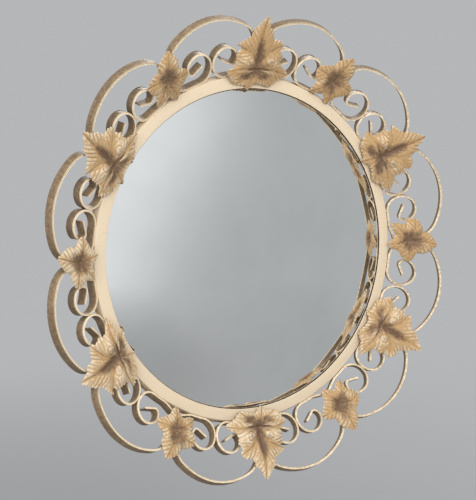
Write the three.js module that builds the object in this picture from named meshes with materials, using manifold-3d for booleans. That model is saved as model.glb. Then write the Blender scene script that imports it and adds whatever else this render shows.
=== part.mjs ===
// Round convex wall mirror with a wrought crown of scrolls, arcs and pressed leaves.
// Millimetres. +Z is up, +X is right as seen from the front, and the mirror looks along -Y.
// The origin is the centre of the back board's rear face, the face turned to the wall.
import * as THREE from 'three';
import { mergeVertices } from 'three/addons/utils/BufferGeometryUtils.js';
import Module from 'manifold-3d';

const wasm = await Module();
wasm.setup();

// ---- driving dimensions ----------------------------------------------------------------
const fitGap = 0.3;              // between pieces that touch on the real mirror
const overcut = 1;               // how far a cutting shape runs past what it cuts

// glass, rim and back
const sightRadius = 171;         // visible glass
const bandWidth = 12.6;          // flat front band of the rim
const rimSheet = 1.2;            // thickness of the rim's sheet
const rimCorner = 1.5;           // rounding of the band's outer corner
const lipHem = 0.6;              // rounding of the band's inner lip
const glassLap = 4;              // glass hidden behind the lip
const glassBulge = 40;           // height of the glass dome
const glassThickness = 2.5;
const packingThickness = 1;
const packingWidth = 10;
const boardThickness = 2.5;

// crown
const stationCount = 12;         // leaves around the rim
const dishAngle = 26;            // degrees that the crown leans towards the viewer
const barWidth = 9.5;            // flat bar, front edge to back edge
const barThickness = 2.5;
const curlRadius = 14.6;         // centreline of the scroll's round curl
const curlSweep = 235;           // degrees of the round curl
const curlInnerRadius = 8.3;     // tightening part of the curl
const curlInnerSweep = 75;
const eyeRadius = 4.1;           // last turn of the curl
const eyeSweep = 78;
const eyeTail = 12;              // straight end of the bar inside the curl
const stemRise = 5;              // how far the scroll's middle bows out from the rim
const stemFlat = 0.42;           // share of the half stem that follows the rim
const arcRise = 60;              // outer arc's peak above the rim's corner
const arcRadius = 71.5;          // outer arc's crown
const arcSweep = 35;             // degrees of the crown on each side of its peak

// leaves
const leafSheet = 1.2;
const vineTilt = 20.8;           // degrees from the frame's plane
const vineRimLift = 0.9;         // back of the leaf over the rim's band at the sight edge
const vineReach = 13.4;          // middle of the leaf beyond the rim's outer corner
const vineDome = 2.6;            // how far the lobes swell towards the viewer
const ivyTilt = 24;
const ivyRimLift = 1.6;          // back of the leaf over the rim's outer corner
const ivyReach = 20.4;
const ivyDome = 2.2;

// fixings at the back
const tabCount = 6;
const tabWidth = 14;
const tabThickness = 1;
const tabGrip = 9;               // reach of a tab over the board
const tabLeg = 4.5;              // length of a tab down the inside of the rim
const hangerInset = 55.6;        // ring's axis inside the rim's outer corner
const ringWire = 3;
const ringRadius = 13;           // centreline of the ring's bow
const ringPlay = 0.3;            // running clearance of the ring in its loop
const strapWidth = 10;
const strapThickness = 1.2;
const rivetShank = 3;
const rivetHead = 6;
const rivetHeadHeight = 1.2;
const clenchHead = 4.8;          // hammered end of a rivet, in front of the board
const clenchHeight = 0.6;
const rivetSpace = 2;            // between rivet heads, and from the upper head to the ring
const rivetEdge = 1.5;           // strap left beyond the lower rivet's head

// facets
const roundSteps = 72;           // around every large ring
const domeSteps = 4;             // across the glass
const cornerSteps = 2;           // around the rim's outer corner
const stemSteps = 5;             // along half of a scroll's stem
const curlSteps = 12;
const curlInnerSteps = 3;
const eyeSteps = 3;
const arcSteps = 4;              // along half of an outer arc's crown
const arcEndSteps = 5;
const boreSteps = 16;            // around holes, and the hanger's loop
const rivetSteps = 12;
const rivetDomeSteps = 2;
const wireSteps = 10;            // around the ring's wire
const bowSteps = 14;             // along the ring's bow
const vineRings = [0.35, 0.7, 1];  // shares of a leaf's outline that its rings of facets follow
const ivyRings = [0.5, 1];

// Pressed outlines, [across, outwards] from the leaf's middle, tip first, counterclockwise.
const vineOutline = [
  [0.4, 45.5], [-6.8, 38.2], [-12.4, 32.3], [-14.5, 26], [-18.5, 22.8], [-29, 16.2],
  [-23.4, 13.9], [-26.6, 8.5], [-27.5, 2], [-26.8, -5.5], [-34.5, -11], [-29.6, -16.8],
  [-23.6, -22.4], [-14, -23.8], [-9.5, -24], [-6.4, -28], [-1.2, -24.2], [1.8, -21.5],
  [10.5, -21.8], [18.4, -24], [22.5, -23], [28.8, -17.2], [35.8, -13.8], [41, -10.4],
  [34, -4.8], [29, -2.2], [27.4, 2], [28.2, 8], [24.7, 13.3], [27, 18.5],
  [21.6, 23.2], [13.8, 24.3], [11, 31.8], [6.8, 34.8], [4.4, 40.2],
];
const ivyOutline = [
  [5.9, 29.4], [-4.1, 23.8], [-8.4, 19.4], [-11.4, 13.9], [-16, 13], [-23.9, 8.3],
  [-25.9, 4.3], [-23.5, -2.7], [-19.4, -6.5], [-20.2, -12.7], [-20.3, -18.2], [-13.2, -18],
  [-6, -15], [0.4, -20.6], [4.8, -22.9], [8.4, -19], [11, -13.5], [16.4, -10.2],
  [22.4, -5.7], [24.5, -2.5], [21.4, 3], [15, 6.8], [15.7, 14], [13, 20.6], [9.5, 25],
];
// Each leaf was fixed by hand: degrees clockwise, then millimetres across and outwards.
const vinePlacing = [[2, 0, 0], [3.7, 0, 0], [5, 0, 0], [3, 0, 0], [10, 0, 0], [7, 0, 0]];
const ivyPlacing = [[-8, -4.5, -1], [0, 0, 0], [-4, -1, 2.5], [-3, 0, 2.5], [0, 2, 0], [1, -3, 1]];

// ---- derived places --------------------------------------------------------------------
const rad = THREE.MathUtils.degToRad;
const dish = rad(dishAngle);
const glassRadius = sightRadius + glassLap;
const domeRadius = (glassRadius ** 2 + glassBulge ** 2) / (2 * glassBulge);
const boardFront = -boardThickness;
const packingRear = boardFront - fitGap;
const packingFront = packingRear - packingThickness;
const glassEdgeRear = packingFront - fitGap;
const glassEdgeFront = glassEdgeRear - glassThickness;
const domeHeight = (radius) => Math.sqrt(domeRadius ** 2 - radius ** 2) - (domeRadius - glassBulge);
const glassFront = (radius) => glassEdgeFront - domeHeight(radius);
const lipRear = glassFront(sightRadius) - fitGap;
const lipFront = lipRear - rimSheet;
const rimRadius = sightRadius + bandWidth;
const hangerHeight = rimRadius - hangerInset;
const rimRear = lipFront + barWidth * Math.cos(dish);
const wallOuter = (y) => rimRadius + (y - lipFront) * Math.tan(dish);
const wallSkin = rimSheet / Math.cos(dish);
const wallInner = (y) => wallOuter(y) - wallSkin;
const facetSag = (radius) => radius * (1 - Math.cos(Math.PI / roundSteps));
const tabSkin = tabThickness / Math.cos(dish);
const tabRise = tabWidth ** 2 / (8 * rimRadius);
const tabOuter = (y) => wallInner(y) - fitGap - facetSag(rimRadius) - tabRise;
const tabInner = (y) => tabOuter(y) - tabSkin;
const boardRadius = tabInner(boardFront) - fitGap;
const stationAngle = (2 * Math.PI) / stationCount;

// The surface on which the front edges of all the crown's bars lie.
const crownFront = (radius) => lipFront - (radius - rimRadius) * Math.tan(dish);

// The foremost surface under a leaf, from the glass over the band to the crown.
function groundFront(radius) {
  if (radius > rimRadius) return crownFront(radius);
  if (radius > sightRadius) return lipFront;
  return Math.min(lipFront, glassFront(radius));
}

// ---- materials -------------------------------------------------------------------------
const finish = (name, color, roughness, metalness) =>
  Object.assign(new THREE.MeshStandardMaterial({ color, roughness, metalness }), { name });
const creamGold = finish('cream_gold', 0xd9c096, 0.5, 0.25);
const barGold = finish('bar_gold', 0xc2a06e, 0.5, 0.4);
const vineGold = finish('vine_gold', 0xc79b5d, 0.48, 0.4);
const ivyGold = finish('ivy_gold', 0xb98e58, 0.5, 0.4);
const mirrorGlass = finish('mirror_glass', 0xd5dadd, 0.04, 1);
const greyCard = finish('grey_card', 0x8d8778, 0.95, 0);
const hardboard = finish('hardboard', 0x6f5238, 0.85, 0);
const tinned = finish('tinned_steel', 0xa3a39c, 0.4, 0.8);
const steel = finish('steel_wire', 0x8b8c8a, 0.35, 0.9);

// ---- helpers ---------------------------------------------------------------------------
const mirror = new THREE.Group();

function addPiece(name, geometry, material, parent = mirror) {
  const mesh = new THREE.Mesh(geometry, material);
  mesh.name = name;
  parent.add(mesh);
  return mesh;
}

function toSolid(geometry) {
  const bare = geometry.clone();
  bare.deleteAttribute('normal');
  bare.deleteAttribute('uv');
  const merged = mergeVertices(bare, 1e-4);
  const vertProperties = new Float32Array(merged.attributes.position.array);
  const triVerts = new Uint32Array(merged.index.array);
  return new wasm.Manifold(new wasm.Mesh({ numProp: 3, vertProperties, triVerts }));
}

function toGeometry(solid) {
  const mesh = solid.getMesh();
  const geometry = new THREE.BufferGeometry();
  geometry.setAttribute('position', new THREE.BufferAttribute(mesh.vertProperties, 3));
  geometry.setIndex(new THREE.BufferAttribute(mesh.triVerts, 1));
  return geometry;
}

const lathe = (profile, steps = roundSteps) =>
  new THREE.LatheGeometry(profile.map(([r, y]) => new THREE.Vector2(r, y)), steps);

// A cylinder along Y at the height z, from y0 to y1.
function cylinderY(radius, y0, y1, z) {
  const geometry = new THREE.CylinderGeometry(radius, radius, y1 - y0, boreSteps);
  return geometry.translate(0, (y0 + y1) / 2, z);
}

// A plane curve drawn by a pen: straight runs and arcs, positive sweeps turn left.
class Pen {
  constructor(x, z, heading) {
    this.at = new THREE.Vector2(x, z);
    this.heading = heading;
    this.points = [this.at.clone()];
  }
  run(length, steps = 1) {
    const step = new THREE.Vector2(Math.cos(this.heading), Math.sin(this.heading));
    for (let i = 1; i <= steps; i += 1) {
      this.points.push(this.at.clone().addScaledVector(step, (length * i) / steps));
    }
    this.at = this.points.at(-1).clone();
    return this;
  }
  turn(radius, sweep, steps) {
    const side = Math.sign(sweep);
    const from = this.heading - (side * Math.PI) / 2;
    const middle = this.at.clone().sub(
      new THREE.Vector2(Math.cos(from), Math.sin(from)).multiplyScalar(radius));
    for (let i = 1; i <= steps; i += 1) {
      const angle = from + (sweep * i) / steps;
      const spoke = new THREE.Vector2(Math.cos(angle), Math.sin(angle));
      this.points.push(middle.clone().addScaledVector(spoke, radius));
    }
    this.at = this.points.at(-1).clone();
    this.heading += sweep;
    return this;
  }
}

// Flat bar on edge: a plane path, thickened, stood on the dished crown surface.
function barOnCrown(path) {
  const left = [];
  const right = [];
  path.forEach((point, i) => {
    const before = path[Math.max(i - 1, 0)];
    const after = path[Math.min(i + 1, path.length - 1)];
    const inward = point.clone().sub(before).normalize();
    const outward = after.clone().sub(point).normalize();
    const along = inward.add(outward).normalize();
    const normal = new THREE.Vector2(-along.y, along.x).multiplyScalar(barThickness / 2);
    left.push(point.clone().add(normal));
    right.push(point.clone().sub(normal));
  });
  const shape = new THREE.Shape(right.concat(left.reverse()));
  const geometry = new THREE.ExtrudeGeometry(shape, { depth: 1, bevelEnabled: false });
  const position = geometry.attributes.position;
  for (let i = 0; i < position.count; i += 1) {
    const across = position.getX(i);
    const up = position.getY(i);
    const depth = barWidth * (1 - position.getZ(i));
    const radius = Math.hypot(across, up);
    const spread = (radius + depth * Math.sin(dish)) / radius;
    const y = crownFront(radius) + depth * Math.cos(dish);
    position.setXYZ(i, across * spread, y, up * spread);
  }
  return geometry;
}

// ---- rim, glass and back ---------------------------------------------------------------
function bezelRing() {
  const cornerInset = (rimCorner * (1 - Math.sin(dish))) / Math.cos(dish);
  const corner = [];
  for (let i = 0; i <= cornerSteps; i += 1) {
    const angle = -Math.PI / 2 + ((Math.PI / 2 - dish) * i) / cornerSteps;
    const radius = rimRadius - cornerInset + rimCorner * Math.cos(angle);
    corner.push([radius, lipFront + rimCorner * (1 + Math.sin(angle))]);
  }
  return lathe([
    [sightRadius, lipRear],
    [sightRadius, lipFront + lipHem],
    [sightRadius + lipHem, lipFront],
    ...corner,
    [wallOuter(rimRear), rimRear],
    [wallInner(rimRear), rimRear],
    [wallInner(lipRear), lipRear],
    [sightRadius, lipRear],
  ]);
}

function convexGlass() {
  const profile = [];
  for (let i = 0; i <= domeSteps; i += 1) {
    const radius = (glassRadius * i) / domeSteps;
    profile.push([radius, glassFront(radius)]);
  }
  for (let i = domeSteps; i >= 0; i -= 1) {
    const radius = (glassRadius * i) / domeSteps;
    profile.push([radius, glassFront(radius) + glassThickness]);
  }
  return lathe(profile);
}

function packingRing() {
  const inner = glassRadius - packingWidth;
  return lathe([
    [inner, packingRear],
    [inner, packingFront],
    [glassRadius, packingFront],
    [glassRadius, packingRear],
    [inner, packingRear],
  ]);
}

const upperRivet = hangerHeight - ringRadius - ringWire / 2 - rivetSpace - rivetHead / 2;
const lowerRivet = upperRivet - rivetHead - rivetSpace;
const rivetHeights = [upperRivet, lowerRivet];
const strapEnd = lowerRivet - rivetHead / 2 - rivetEdge;
const rivetHole = rivetShank / 2 + fitGap;
const strapRear = fitGap + strapThickness;

function backBoard() {
  const disc = lathe([[0, boardFront], [boardRadius, boardFront], [boardRadius, 0], [0, 0]]);
  let board = toSolid(disc);
  for (const height of rivetHeights) {
    const hole = cylinderY(rivetHole, boardFront - overcut, overcut, height);
    board = board.subtract(toSolid(hole));
  }
  return toGeometry(board);
}

// Bent tab, drawn across the rim's wall and extruded along it.
function retainingTab() {
  const front = rimRear - tabLeg;
  const foot = fitGap;
  const rear = foot + tabThickness;
  const toe = boardRadius - tabGrip;
  const outline = [
    [tabOuter(front), front], [tabOuter(rear), rear], [toe, rear],
    [toe, foot], [tabInner(foot), foot], [tabInner(front), front],
  ];
  const shape = new THREE.Shape(outline.map(([r, y]) => new THREE.Vector2(r, y)));
  const geometry = new THREE.ExtrudeGeometry(shape, { depth: tabWidth, bevelEnabled: false });
  return geometry.translate(0, 0, -tabWidth / 2);
}

// ---- hanger ----------------------------------------------------------------------------
const loopInner = ringWire / 2 + ringPlay;
const loopOuter = loopInner + strapThickness;
const hangerAxis = fitGap + loopOuter;

function hangerStrap() {
  const height = hangerHeight - strapEnd + loopOuter / 2;
  const plate = new THREE.BoxGeometry(strapWidth, strapThickness, height);
  plate.translate(0, fitGap + strapThickness / 2, strapEnd + height / 2);
  const alongX = (radius, length) => {
    const geometry = new THREE.CylinderGeometry(radius, radius, length, boreSteps);
    return geometry.rotateZ(Math.PI / 2).translate(0, hangerAxis, hangerHeight);
  };
  let strap = toSolid(plate).add(toSolid(alongX(loopOuter, strapWidth)));
  strap = strap.subtract(toSolid(alongX(loopInner, strapWidth + 2 * overcut)));
  for (const z of rivetHeights) {
    const hole = cylinderY(rivetHole, fitGap - overcut, strapRear + overcut, z);
    strap = strap.subtract(toSolid(hole));
  }
  return toGeometry(strap);
}

// D-shaped ring: a straight bar in the strap's loop and a half-round bow below it.
function hangerRing() {
  const bow = new THREE.CatmullRomCurve3([]);
  bow.getPoint = (t, target = new THREE.Vector3()) => {
    const angle = Math.PI * (1 + t);
    return target.set(ringRadius * Math.cos(angle), 0, ringRadius * Math.sin(angle));
  };
  const section = new THREE.Shape();
  section.absarc(0, 0, ringWire / 2, 0, 2 * Math.PI);
  const curveSegments = wireSteps / 2;
  const options = { steps: bowSteps, curveSegments, bevelEnabled: false, extrudePath: bow };
  const curved = toSolid(new THREE.ExtrudeGeometry(section, options));
  const length = 2 * ringRadius + ringWire;
  const bar = new THREE.CylinderGeometry(ringWire / 2, ringWire / 2, length, wireSteps);
  return toGeometry(curved.add(toSolid(bar.rotateZ(Math.PI / 2))));
}

// Shank through strap and board, domed head behind and clenched head in front.
function hangerRivet() {
  const shank = rivetShank / 2;
  const seat = strapRear + fitGap;
  const clench = boardFront - fitGap;
  const dome = [];
  for (let i = 0; i < rivetDomeSteps; i += 1) {
    const angle = (Math.PI / 2) * (i / rivetDomeSteps);
    dome.push([(rivetHead / 2) * Math.cos(angle), seat + rivetHeadHeight * Math.sin(angle)]);
  }
  return lathe([
    [0, clench - clenchHeight],
    [clenchHead / 2, clench - clenchHeight],
    [clenchHead / 2, clench],
    [shank, clench],
    [shank, seat],
    ...dome,
    [0, seat + rivetHeadHeight],
  ], rivetSteps);
}

// ---- crown -----------------------------------------------------------------------------
// The curl touches the rim below it and the neighbouring scroll's curl beside it.
const barHalf = barThickness / 2;
const curlReach = rimRadius + fitGap + barHalf + curlRadius;
const curlAside = curlRadius + barHalf + fitGap / 2;
const curlAngle = stationAngle / 2 - Math.asin(curlAside / curlReach);
const curlFoot = rimRadius + fitGap + barHalf;

// One C-scroll: a stem that follows the rim, with a curl at each end.
function scroll() {
  const footX = curlFoot * Math.sin(curlAngle);
  const footZ = curlFoot * Math.cos(curlAngle);
  const pen = new Pen(footX, footZ, -curlAngle);
  pen.turn(curlRadius, rad(curlSweep), curlSteps);
  pen.turn(curlInnerRadius, rad(curlInnerSweep), curlInnerSteps);
  pen.turn(eyeRadius, rad(eyeSweep), eyeSteps);
  pen.run(eyeTail);
  const bow = (share) => {
    const angle = curlAngle * share;
    const lift = Math.max(0, 1 - share / (1 - stemFlat));
    const smooth = lift * lift * (3 - 2 * lift);
    const radius = curlFoot + stemRise * smooth;
    return new THREE.Vector2(radius * Math.sin(angle), radius * Math.cos(angle));
  };
  const stem = Array.from({ length: stemSteps }, (_, i) => bow((i + 1) / (stemSteps + 1)));
  const half = [...stem, ...pen.points];
  const flipped = half.map((point) => new THREE.Vector2(-point.x, point.y)).reverse();
  return barOnCrown([...flipped, bow(0), ...half]);
}

// One outer arc, about the line half way between two leaves. It comes down behind each leaf
// beside the next arc's end, and stands on the middle of the scroll.
function outerArc() {
  const peak = rimRadius + arcRise;
  const side = barHalf + fitGap / 2;
  const foot = curlFoot + stemRise + barHalf + fitGap;
  const half = stationAngle / 2;
  const sweep = rad(arcSweep);
  const inX = arcRadius * Math.sin(sweep);
  const inZ = peak - arcRadius * (1 - Math.cos(sweep));
  const away = inZ * Math.sin(half) - inX * Math.cos(half) - side;
  const last = Math.PI / 2 + half - sweep;
  const endRadius = away / (1 - Math.cos(last));
  const pen = new Pen(0, peak, 0);
  pen.turn(arcRadius, -sweep, arcSteps);
  pen.turn(endRadius, -last, arcEndSteps);
  pen.run(pen.at.x * Math.sin(half) + pen.at.y * Math.cos(half) - foot);
  const flipped = pen.points.slice(1).map((point) => new THREE.Vector2(-point.x, point.y));
  return barOnCrown([...flipped.reverse(), ...pen.points]);
}

// Pressed leaf: rings of points shrink the outline towards its middle on both faces.
function pressedLeaf(outline, placing, middle, tilt, restRadius, restLift, dome, rings) {
  const [turn, across, outwards] = placing;
  const profile = [[0, 1], ...rings.map((f) => [f, 1])];
  const both = profile.concat(rings.map((f) => [f, 0]).reverse(), [[0, 0]]);
  const geometry = lathe(both, outline.length);
  const position = geometry.attributes.position;
  const cos = Math.cos(rad(turn));
  const sin = Math.sin(rad(turn));
  const slope = Math.tan(rad(tilt));
  for (let i = 0; i < position.count; i += 1) {
    const spoke = (2 * outline.length - Math.floor(i / both.length)) % outline.length;
    const [share, face] = both[i % both.length];
    const [u, v] = outline[spoke];
    const x = across + share * (u * cos + v * sin);
    const z = middle + outwards + share * (v * cos - u * sin);
    const seat = lipFront - restLift - (z - restRadius) * slope;
    const ground = groundFront(Math.hypot(x, z)) - fitGap;
    const back = Math.min(seat, ground) - dome * Math.sin(Math.PI * share);
    position.setXYZ(i, x, back - leafSheet * face, z);
  }
  return geometry;
}

// ---- assembly --------------------------------------------------------------------------
addPiece('bezel_ring', bezelRing(), creamGold);
addPiece('convex_glass', convexGlass(), mirrorGlass);
addPiece('packing_ring', packingRing(), greyCard);
addPiece('back_board', backBoard(), hardboard);

const tabShape = retainingTab();
for (let i = 0; i < tabCount; i += 1) {
  const tab = addPiece(`retaining_tab_${i + 1}`, tabShape, tinned);
  tab.rotation.y = (2 * Math.PI * i) / tabCount;
}

addPiece('hanger_strap', hangerStrap(), tinned);
addPiece('hanger_ring', hangerRing(), steel).position.set(0, hangerAxis, hangerHeight);
const rivetShape = hangerRivet();
rivetHeights.forEach((height, i) => {
  addPiece(`hanger_rivet_${i + 1}`, rivetShape, steel).position.z = height;
});

const scrollShape = scroll();
const arcShape = outerArc();
for (let i = 0; i < stationCount; i += 1) {
  const station = new THREE.Group();
  station.rotation.y = stationAngle * i;
  mirror.add(station);
  addPiece(`scroll_${i + 1}`, scrollShape, barGold, station);
  const arc = addPiece(`outer_arc_${i + 1}`, arcShape, barGold, station);
  arc.rotation.y = stationAngle / 2;
  const pair = Math.floor(i / 2);
  if (i % 2 === 0) {
    const placing = vinePlacing[pair % vinePlacing.length];
    const leaf = pressedLeaf(vineOutline, placing, rimRadius + vineReach, vineTilt,
      sightRadius, vineRimLift, vineDome, vineRings);
    addPiece(`vine_leaf_${pair + 1}`, leaf, vineGold, station);
  } else {
    const placing = ivyPlacing[pair % ivyPlacing.length];
    const leaf = pressedLeaf(ivyOutline, placing, rimRadius + ivyReach, ivyTilt,
      rimRadius, ivyRimLift, ivyDome, ivyRings);
    addPiece(`ivy_leaf_${pair + 1}`, leaf, ivyGold, station);
  }
}

export default mirror;
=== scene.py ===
"""Looks of a round convex wall mirror with a crown of bar scrolls, arcs and pressed leaves.

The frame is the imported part's, in metres: +Z up, +X right from the front, the mirror looks
along -Y, and the origin is the centre of the back board's rear face.
"""
import math

import bpy
import numpy as np
from mathutils import Matrix, Vector
from mathutils.geometry import delaunay_2d_cdt


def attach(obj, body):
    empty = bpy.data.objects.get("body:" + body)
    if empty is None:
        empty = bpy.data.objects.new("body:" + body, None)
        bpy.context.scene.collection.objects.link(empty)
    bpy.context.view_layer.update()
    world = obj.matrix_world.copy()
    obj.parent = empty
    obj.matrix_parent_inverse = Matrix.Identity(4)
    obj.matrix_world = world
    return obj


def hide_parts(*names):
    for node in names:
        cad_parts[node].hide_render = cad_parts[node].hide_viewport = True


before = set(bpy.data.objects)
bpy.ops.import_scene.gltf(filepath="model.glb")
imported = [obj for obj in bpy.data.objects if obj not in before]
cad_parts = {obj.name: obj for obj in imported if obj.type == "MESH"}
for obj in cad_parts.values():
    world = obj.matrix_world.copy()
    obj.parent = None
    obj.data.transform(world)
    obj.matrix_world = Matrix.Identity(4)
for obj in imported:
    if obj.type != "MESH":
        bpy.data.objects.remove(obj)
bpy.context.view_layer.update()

MM = 0.001

# ---- driving dimensions, millimetres -------
FIT_GAP = 0.3             # clearance between neighbouring pieces
SIGHT_RADIUS = 171
BAND_WIDTH = 12.6
RIM_SHEET = 1.2
RIM_CORNER = 1.5
LIP_HEM = 0.6
GLASS_LAP = 4
GLASS_BULGE = 40
GLASS_THICKNESS = 2.5
PACKING = 1
BOARD = 2.5

STATIONS = 12
DISH = math.radians(26)   # lean of the crown and of the rim's wall
BAR_WIDTH = 9.5
BAR_THICKNESS = 2.5
BAR_ROUND = 0.45          # rounding of the bar's long edges
CURL_RADIUS = 14.6
CURL_SWEEP = math.radians(235)
CURL_INNER_RADIUS = 8.3
CURL_INNER_SWEEP = math.radians(75)
EYE_RADIUS = 4.1
EYE_SWEEP = math.radians(78)
EYE_TAIL = 12
STEM_RISE = 5
STEM_FLAT = 0.42          # share of the stem that lies along the rim
ARC_RISE = 60
ARC_RADIUS = 71.5
ARC_SWEEP = math.radians(35)

# ---- derived places, millimetres -----------
GLASS_RADIUS = SIGHT_RADIUS + GLASS_LAP
DOME_RADIUS = (GLASS_RADIUS ** 2 + GLASS_BULGE ** 2) / (2 * GLASS_BULGE)
BOARD_FRONT = -BOARD
GLASS_EDGE_REAR = BOARD_FRONT - 2 * FIT_GAP - PACKING
GLASS_EDGE_FRONT = GLASS_EDGE_REAR - GLASS_THICKNESS
RIM_RADIUS = SIGHT_RADIUS + BAND_WIDTH
RIM_SKIN = RIM_SHEET / math.cos(DISH)     # the leaning wall's thickness along the radius
BAR_HALF = BAR_THICKNESS / 2
CURL_FOOT = RIM_RADIUS + FIT_GAP + BAR_HALF
HALF_STATION = math.pi / STATIONS
CURL_ANGLE = HALF_STATION - math.asin(
    (CURL_RADIUS + BAR_HALF + FIT_GAP / 2) / (CURL_FOOT + CURL_RADIUS))


def glass_front(radius):
    return GLASS_EDGE_FRONT - np.sqrt(DOME_RADIUS ** 2 - radius ** 2) + DOME_RADIUS - GLASS_BULGE


LIP_REAR = float(glass_front(SIGHT_RADIUS)) - FIT_GAP
LIP_FRONT = LIP_REAR - RIM_SHEET
RIM_REAR = LIP_FRONT + BAR_WIDTH * math.cos(DISH)


def crown_front(radius):
    return LIP_FRONT - (radius - RIM_RADIUS) * math.tan(DISH)


def wall_outer(y):
    return RIM_RADIUS + (y - LIP_FRONT) * math.tan(DISH)


# ---- mesh helpers --------------------------
SHARP_ANGLE = 40          # degrees between faces from which their edge looks sharp
PRESSED_SHARP_ANGLE = 60  # the same on pressed leaves and brazing


def to_object(name, points, faces, traits=None, sharp_angle=SHARP_ANGLE):
    """A mesh object from points in millimetres. traits are named numbers, one for each point."""
    mesh = bpy.data.meshes.new(name)
    mesh.from_pydata((np.asarray(points) * MM).tolist(), [], faces)
    mesh.validate()
    for key, values in (traits or {}).items():
        layer = mesh.attributes.new(key, "FLOAT", "POINT")
        layer.data.foreach_set("value", np.asarray(values, dtype=np.float32))
    mesh.shade_smooth()
    mesh.set_sharp_from_angle(angle=math.radians(sharp_angle))
    piece = bpy.data.objects.new(name, mesh)
    bpy.context.scene.collection.objects.link(piece)
    return piece


def install(piece, node, material, body="mirror"):
    """Paints a piece and puts it in the place of the part's node."""
    piece.data.materials.append(material)
    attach(piece, body)
    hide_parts(node)


def ease(value, low, high):
    """A smooth step from 0 at low to 1 at high."""
    share = np.clip((value - low) / (high - low), 0, 1)
    return share * share * (3 - 2 * share)


def full_turn(steps):
    return np.linspace(0, 2 * math.pi, steps, endpoint=False)


def flipped(faces):
    return [tuple(reversed(face)) for face in faces]


def grid_faces(rows, columns, wrap_rows=False, wrap_columns=True):
    """Quads of a grid of points, row by row."""
    faces = []
    for i in range(rows if wrap_rows else rows - 1):
        row, next_row = i * columns, (i + 1) % rows * columns
        for j in range(columns if wrap_columns else columns - 1):
            k = (j + 1) % columns
            faces.append((row + j, row + k, next_row + k, next_row + j))
    return faces


def tube(rings):
    """Points and faces of a tube through rings of points, with a cap on each end."""
    rows, columns = len(rings), len(rings[0])
    faces = grid_faces(rows, columns)
    faces.append(tuple(reversed(range(columns))))
    faces.append(tuple(range((rows - 1) * columns, rows * columns)))
    return np.array(rings).reshape(-1, 3), faces


def way_and_side(path):
    """Unit vectors along a plane path, and square to it on its left."""
    way = np.gradient(path, axis=0)
    way /= np.linalg.norm(way, axis=1)[:, None]
    return way, np.stack([-way[:, 1], way[:, 0]], axis=1)


def spun(points, angle):
    """Turns plane points about their origin, counterclockwise."""
    x, y = points.T
    return np.stack([x * math.cos(angle) - y * math.sin(angle),
                     x * math.sin(angle) + y * math.cos(angle)], axis=-1)


def rounded(corners, radius, steps):
    """A closed outline whose corners are rounded; a corner may give its own radius."""
    outline = []
    for i, corner in enumerate(corners):
        here = np.array(corner[:2], dtype=float)
        r = corner[2] if len(corner) > 2 else radius
        if r <= 0:
            outline.append(here)
            continue
        to_before = corners[i - 1][:2] - here
        to_after = corners[(i + 1) % len(corners)][:2] - here
        to_before /= np.linalg.norm(to_before)
        to_after /= np.linalg.norm(to_after)
        inwards = to_before + to_after
        half = math.acos(np.clip(np.dot(to_before, to_after), -1, 1)) / 2
        middle = here + inwards / np.linalg.norm(inwards) * r / math.sin(half)
        start = here + to_before * (r / math.tan(half)) - middle
        turn = math.pi - 2 * half
        side = math.copysign(1, start[0] * to_after[1] - start[1] * to_after[0])
        for k in range(steps + 1):
            outline.append(middle + spun(start, side * turn * k / steps))
    return np.array(outline)


def revolve(outline, steps, on_axis=False):
    """Turns an outline of (radius, y) about the mirror's axis.

    on_axis adds a point on the axis at each end of the outline."""
    outline = np.asarray(outline, dtype=float)
    turns = full_turn(steps)
    points = np.stack([
        np.outer(np.sin(turns), outline[:, 0]),
        np.tile(outline[:, 1], (steps, 1)),
        np.outer(np.cos(turns), outline[:, 0]),
    ], axis=2).reshape(-1, 3)
    columns = len(outline)
    faces = grid_faces(steps, columns, wrap_rows=True, wrap_columns=not on_axis)
    if on_axis:
        last = len(points)
        points = np.vstack([points, [[0, outline[0, 1], 0], [0, outline[-1, 1], 0]]])
        for i in range(steps):
            row, next_row = i * columns, (i + 1) % steps * columns
            faces.append((last, row, next_row))
            faces.append((last + 1, next_row + columns - 1, row + columns - 1))
    return points, flipped(faces)


def turned(points, angle):
    """Turns points about the mirror's axis, clockwise as seen from the front."""
    points = np.array(points, dtype=float)
    points[:, [0, 2]] = spun(points[:, [0, 2]], -angle)
    return points


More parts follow.
